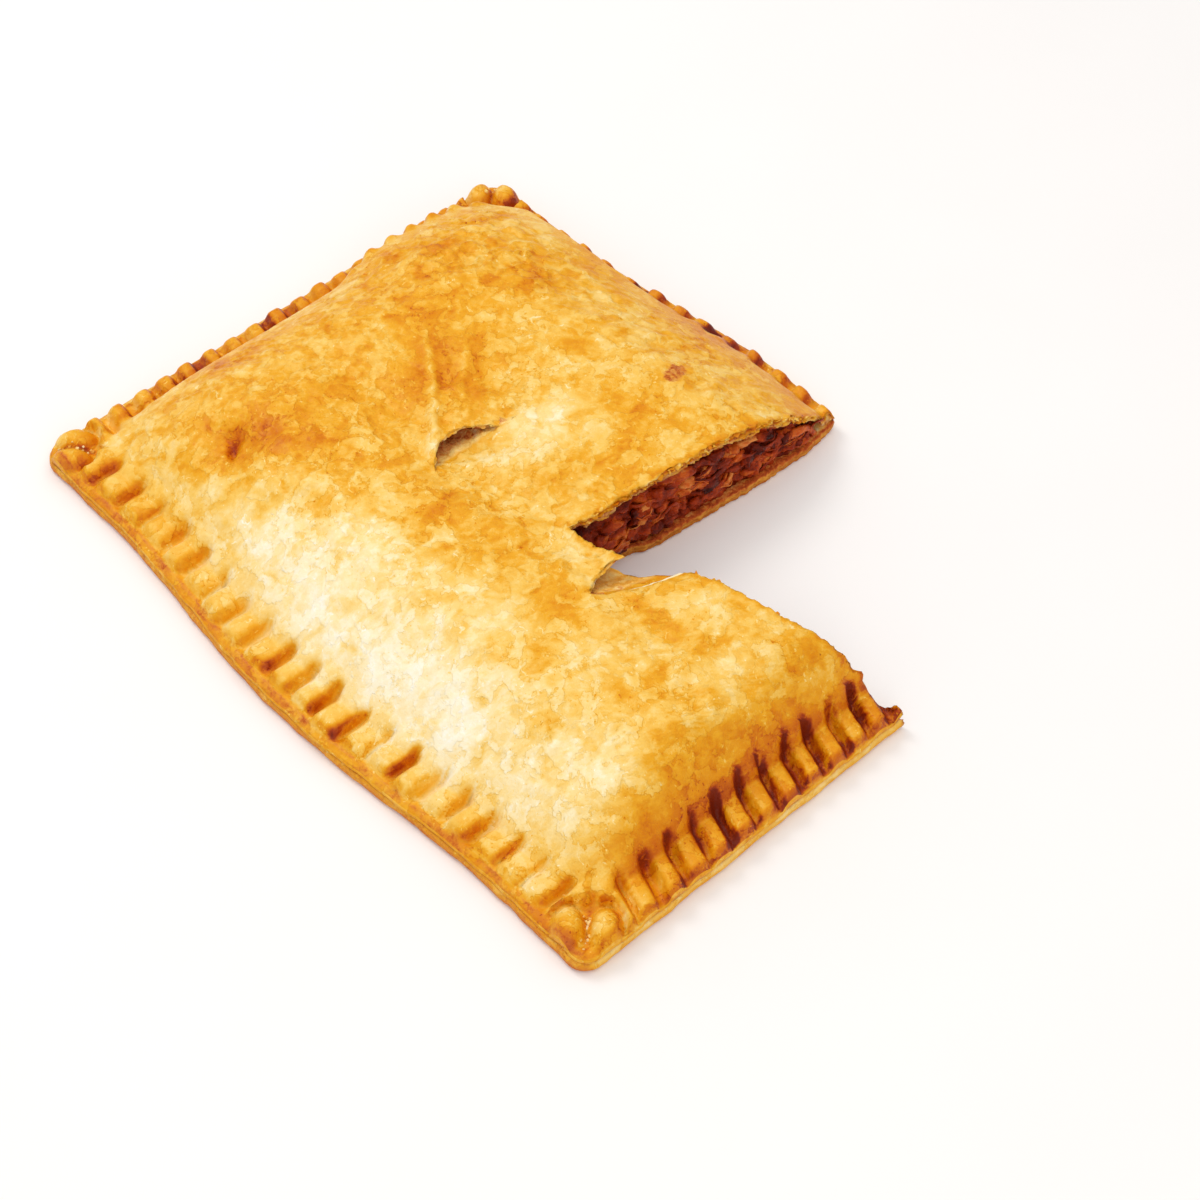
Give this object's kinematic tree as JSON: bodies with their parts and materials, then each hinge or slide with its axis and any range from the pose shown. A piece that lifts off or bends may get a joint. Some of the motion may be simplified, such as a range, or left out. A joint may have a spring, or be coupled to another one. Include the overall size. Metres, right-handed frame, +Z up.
{
  "type": "empanada",
  "caption": "Family-size rectangular empanada with a crimped rim and domed puff pastry top, one quarter cut away to show the filling between two sheets of crust.",
  "frame": {"origin": "under the middle of the pie's bounding box, on the surface that it lies on", "axes": "+X along the long sides, with the missing quarter at the +X +Y corner; +Y along the short sides, towards the back; +Z up, out of the domed top"},
  "size_m": [0.2368, 0.1894, 0.0319],
  "materials": {
    "golden_pastry": "egg-washed puff pastry, golden with caramel mottling and pale flakes, satin gloss",
    "tomato_filling": "moist tomato-red cooked filling with onion strips and pale fibres",
    "pale_pastry": "dry pale tan baked dough, matte"
  },
  "bodies": {
    "root": {"crust_top": "golden_pastry", "filling": "tomato_filling", "crust_bottom": "pale_pastry"}
  },
  "joints": []
}
